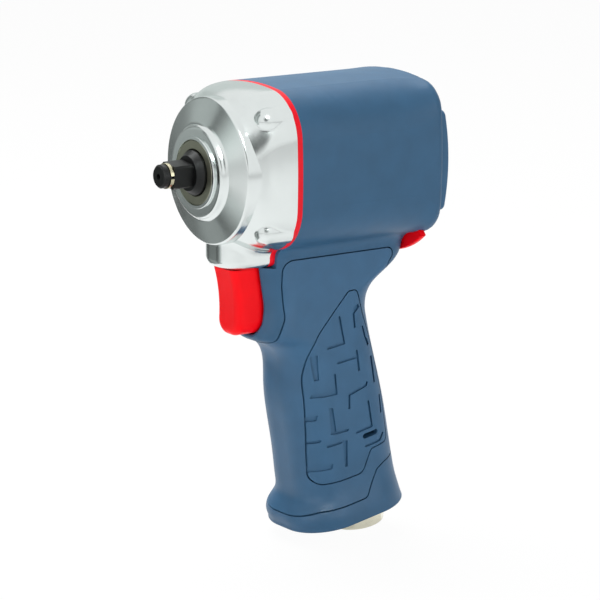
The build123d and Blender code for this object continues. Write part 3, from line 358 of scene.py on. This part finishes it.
def softbox(name, place, aim, size, power):
    """A square area lamp aimed at a point."""
    lamp = bpy.data.lights.new(name, "AREA")
    lamp.shape = "SQUARE"
    lamp.size = size
    lamp.energy = power
    lamp_object = bpy.data.objects.new(name, lamp)
    lamp_object.location = place
    lamp_object.rotation_euler = (aim - Vector(place)).to_track_quat("-Z", "Y").to_euler()
    lamp_object.light_linking.receiver_collection = mirror_finish
    scene.collection.objects.link(lamp_object)


for name, (place, power) in lamps.items():
    softbox(name, place, camera_target, lamp_size, power)


def hide_from_camera(sheet):
    """Leaves a painted reflection card to reflections only: it isn't seen, lights no matt surface and
    casts no shadow.
    """
    sheet.visible_camera = False
    sheet.visible_diffuse = False
    sheet.visible_shadow = False


def shaded_along(nodes, place, shades, tint):
    """A tint that takes the given shades at the given shares of a card's width or height."""
    ramp = nodes.add("ShaderNodeValToRGB", Fac=place)
    stops = ramp.color_ramp.elements
    for position, shade in shades:
        stops.new(position).color = (*[channel * shade for channel in tint], 1)
    stops.remove(stops[0])
    stops.remove(stops[-1])
    return ramp.outputs["Color"]


def painted_reflection_wall(name, start, end, top, width_reflection_shades, height_reflection_shades):
    """A painted reflection: a glowing card standing on the floor, seen only in reflections, with painted
    shades along its width and its height; sizes in metres.
    """
    material, nodes, _ = new_material(name)
    spread = nodes.add("ShaderNodeTexCoord").outputs["UV"]
    place = nodes.add("ShaderNodeSeparateXYZ", Vector=spread).outputs
    colour = shaded_along(nodes, place["X"], width_reflection_shades, wall_reflection_tint)
    level = shaded_along(nodes, place["Y"], height_reflection_shades, plain_tint)
    nodes.show(nodes.add("ShaderNodeEmission", Color=colour, Strength=level).outputs[0])
    low, high = Vector((*start, floor_height)), Vector((*end, top))
    half = (high - low) / 2
    across, along = Vector((half.x, half.y, 0)), Vector((0, 0, half.z))
    hide_from_camera(plain_sheet(name, (low + high) / 2, across, along, material))


def painted_reflection_disc(name, turn, rise, reach, radius, strength):
    """A painted reflection: a round glowing card with a soft edge, seen only in reflections, that faces
    the nose, placed by its direction from it in degrees.
    """
    material, nodes, _ = new_material(name)
    from_middle = nodes.add("ShaderNodeVectorMath", {"operation": "DISTANCE"})
    nodes.fill(from_middle.inputs[0], nodes.add("ShaderNodeTexCoord").outputs["UV"])
    nodes.fill(from_middle.inputs[1], (0.5, 0.5, 0.0))
    fade = nodes.add(
        "ShaderNodeMapRange",
        {"interpolation_type": "SMOOTHSTEP"},
        Value=from_middle.outputs["Value"],
        From_Min=fade_start,
        From_Max=fade_end,
    )
    glow = nodes.add("ShaderNodeEmission", Color=round_reflection_tint, Strength=strength)
    clear = nodes.add("ShaderNodeBsdfTransparent")
    nodes.show(nodes.mix(fade.outputs["Result"], glow.outputs[0], clear.outputs[0]))
    turn, rise = radians(turn), radians(rise)
    away = Vector((cos(turn) * cos(rise), sin(turn) * cos(rise), sin(rise)))
    across = away.cross(Vector((0, 0, 1))).normalized()
    along = across.cross(away)
    hide_from_camera(plain_sheet(name, reach * away, radius * across, radius * along, material))


# Painted reflections: glowing cards seen only in the polished case; this one paints the dark fans and
# greys on the nose cone, darker towards the bottom
painted_reflection_wall(
    "nose_painted_reflection",
    start=(-0.0174, -0.199),
    end=(0.188, -0.0684),
    top=0.2,
    width_reflection_shades=[
        (0.01, 0.05),
        (0.05, 0.20),
        (0.12, 0.26),
        (0.26, 0.27),
        (0.32, 0.42),
        (0.38, 0.52),
        (0.54, 0.50),
        (0.625, 0.54),
        (0.645, 0.05),
        (0.705, 0.20),
        (0.80, 0.48),
        (0.885, 0.78),
        (0.97, 1.0),
    ],
    height_reflection_shades=[
        (0.02, 0.66),
        (0.21, 0.70),
        (0.26, 0.36),
        (0.30, 0.40),
        (0.36, 0.66),
        (0.45, 0.92),
        (0.55, 1.0),
    ],
)
# Painted grey reflection on the case's top and the left edges of its rim
painted_reflection_wall(
    "far_painted_reflection",
    start=(-0.55, -0.45),
    end=(-0.02, -0.60),
    top=0.38,
    width_reflection_shades=[(0.01, 0.70), (0.70, 0.74), (0.94, 0.46)],
    height_reflection_shades=[(0.01, 0.8), (0.5, 1.0)],
)
# Painted dark band on the case below the upper boss, seen only in reflections
painted_reflection_disc("shoulder_painted_dark_band", turn=46, rise=25, reach=0.8, radius=0.36, strength=0.1)
# Painted glints on the case's bosses and rims, and a faint painted highlight on the grip's foot, seen only
# in reflections
painted_reflection_disc("painted_glint_card", turn=58, rise=45, reach=0.9, radius=0.18, strength=40.0)

# Camera
camera_data = bpy.data.cameras.new("photo_camera")
camera_data.lens = camera_lens
camera_data.sensor_width = camera_sensor
camera_data.clip_end = camera_far_clip
camera = bpy.data.objects.new("photo_camera", camera_data)
turn, rise = radians(camera_turn), radians(camera_rise)
back = Vector((sin(turn) * cos(rise), cos(turn) * cos(rise), sin(rise)))
camera.location = camera_target + camera_distance * back
camera.rotation_euler = (-back).to_track_quat("-Z", "Y").to_euler()
scene.collection.objects.link(camera)
scene.camera = camera
scene.view_settings.view_transform = "Standard"
